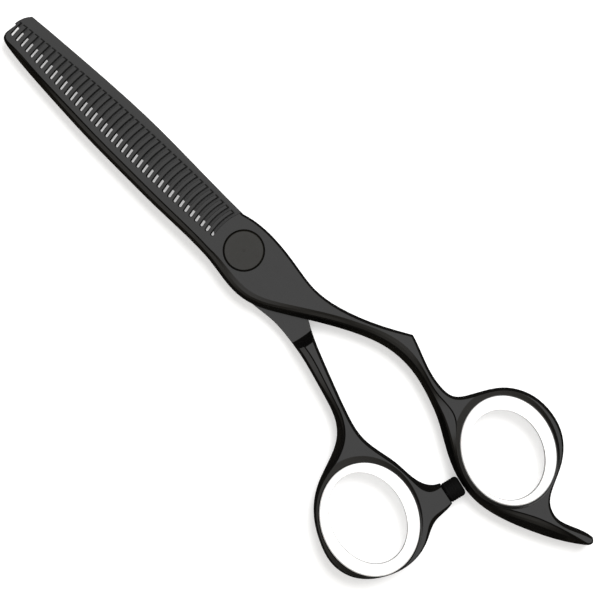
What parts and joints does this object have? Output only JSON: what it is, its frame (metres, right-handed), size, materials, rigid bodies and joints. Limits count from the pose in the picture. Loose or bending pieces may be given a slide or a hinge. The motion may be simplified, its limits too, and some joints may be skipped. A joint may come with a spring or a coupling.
{
  "type": "thinning shears",
  "caption": "Hairdressing thinning shears with a toothed and a solid blade, offset ring handles with soft inserts, a forged finger rest and a rubber stop.",
  "frame": {"origin": "on the pivot axis, in the flat back face of the tension screw, which is the plane that the shears lie on", "axes": "+X along the blades to the tips, +Y to the thumb ring's side, +Z out of the toothed blade's face"},
  "size_m": [0.1659, 0.056, 0.0067],
  "materials": {
    "coated_steel": "black hard coating, satin",
    "coated_screw": "black hard coating on fine turned steel",
    "bright_steel": "ground",
    "brass": "turned",
    "nylon": "natural nylon",
    "white_silicone": "soft moulded silicone, satin",
    "black_rubber": "matte ribbed rubber"
  },
  "bodies": {
    "finger_side": {"toothed_blade_half": "coated_steel", "pivot_post": "coated_screw", "upper_race": "bright_steel", "dust_seal": "nylon", "finger_insert": "white_silicone"},
    "thumb_side": {"solid_blade_half": "coated_steel", "pivot_bushing": "brass", "lower_race": "bright_steel", "thumb_insert": "white_silicone", "bumper": "black_rubber", "bumper_stud": "bright_steel"},
    "ball_bearing": {"bearing_cage": "brass", "bearing_balls": "bright_steel"},
    "tension_adjuster": {"tension_screw": "coated_screw", "thread_lock_ring": "nylon", "disc_spring": "bright_steel"}
  },
  "joints": [
    {"name": "blade_pivot", "type": "hinge", "parent": "finger_side", "child": "thumb_side", "pos_m": [0, 0, 0.0037], "axis": [0, 0, -1], "range_deg": [0, 90]},
    {"name": "cage_turn", "type": "hinge", "parent": "finger_side", "child": "ball_bearing", "pos_m": [0, 0, 0.0037], "axis": [0, 0, -1], "range_deg": [0, 45]},
    {"name": "tension_turn", "type": "hinge", "parent": "finger_side", "child": "tension_adjuster", "pos_m": [0, 0, 0], "axis": [0, 0, 1], "range_deg": [-90, 90]}
  ],
  "couplings": [
    {"joint": "cage_turn", "follows": "blade_pivot", "ratio": 0.5}
  ]
}
